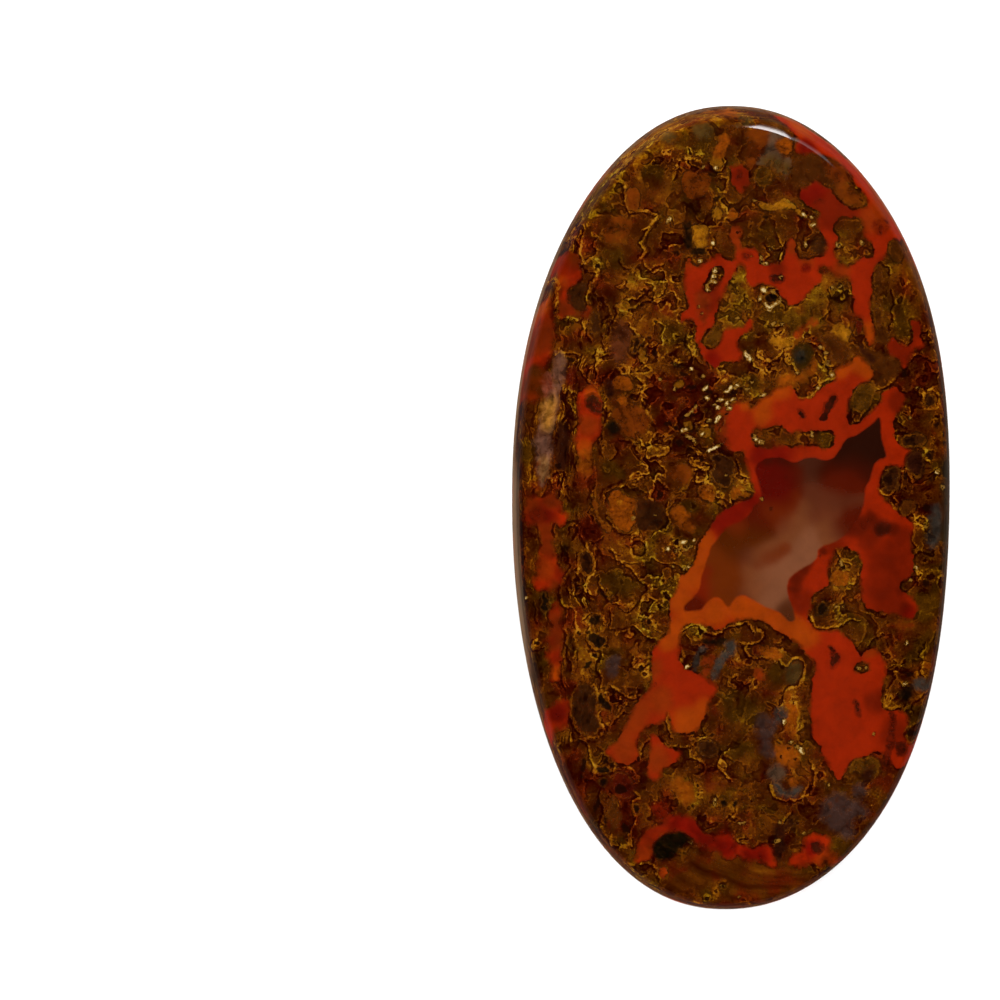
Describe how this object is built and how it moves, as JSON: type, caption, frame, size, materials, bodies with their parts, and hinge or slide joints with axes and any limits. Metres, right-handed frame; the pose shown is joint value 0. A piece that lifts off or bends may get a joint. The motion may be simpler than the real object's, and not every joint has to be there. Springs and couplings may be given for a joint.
{
  "type": "agate cabochon",
  "caption": "Oval polished moss agate cabochon with a low domed face, rounded shoulder, leaning side and flat back.",
  "frame": {"origin": "middle of the flat back, on the surface that the stone rests on", "axes": "+Z out of the domed face, +Y along the stone's length towards its slightly fuller end, +X to the right when the face is seen with +Y up"},
  "size_m": [0.0214, 0.0394, 0.005],
  "materials": {
    "agate": null
  },
  "bodies": {
    "root": {"cabochon": "agate"}
  },
  "joints": []
}
